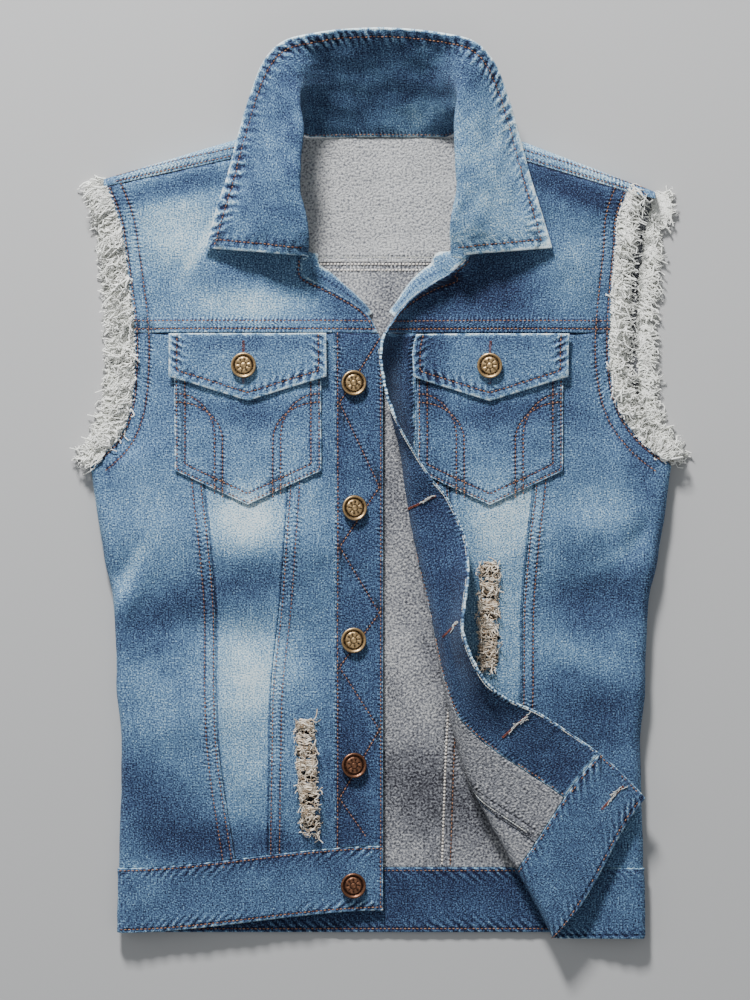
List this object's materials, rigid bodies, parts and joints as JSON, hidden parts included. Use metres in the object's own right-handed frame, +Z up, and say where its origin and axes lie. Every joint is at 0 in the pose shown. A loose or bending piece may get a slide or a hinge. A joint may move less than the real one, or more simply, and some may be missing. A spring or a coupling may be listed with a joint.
{
  "type": "denim vest",
  "caption": "Sleeveless washed denim vest lying flat, open at the front with one lower corner rolled back, turned-down collar, two flap pockets, raw armholes and torn places.",
  "frame": {"origin": "on the surface that the vest lies on, under the middle of its overall box", "axes": "+Z up from the surface, +Y from the hem to the collar, +X to the right of someone looking down at the front, which is the wearer's left"},
  "size_m": [0.4851, 0.7434, 0.0482],
  "materials": {
    "denim": "mid-blue washed twill, dark at the seams and pale where worn",
    "pale_denim": "the same twill faded pale",
    "wrong_side": "grey napped wrong side of the twill; its outer face is blue",
    "raw_thread": "cream and blue loose threads",
    "stitching": "rust-brown and faded sewing thread",
    "aged_brass": "stamped metal with a dark worn recess"
  },
  "bodies": {
    "root": {"back_centre": "wrong_side", "back_side_left": "wrong_side", "back_side_right": "wrong_side", "back_yoke": "wrong_side", "hem_band_back": "denim", "hem_band_left": "denim", "hem_band_right": "denim", "placket_left": "denim", "placket_right": "denim", "front_centre_left": "denim", "front_centre_right": "denim", "front_middle_left": "pale_denim", "front_middle_right": "pale_denim", "front_side_left": "denim", "front_side_right": "denim", "front_yoke_left": "denim", "front_yoke_right": "denim", "collar": "denim", "neck_facing_left": "pale_denim", "neck_facing_right": "pale_denim", "pocket_left": "denim", "pocket_right": "denim", "pocket_flap_left": "denim", "pocket_flap_right": "denim", "flap_button_left": "aged_brass", "flap_button_right": "aged_brass", "front_button_1": "aged_brass", "front_button_2": "aged_brass", "front_button_3": "aged_brass", "front_button_4": "aged_brass", "front_button_5": "aged_brass", "fray_front_left": "raw_thread", "fray_front_right": "raw_thread", "fray_back_left": "raw_thread", "fray_back_right": "raw_thread"}
  },
  "joints": []
}
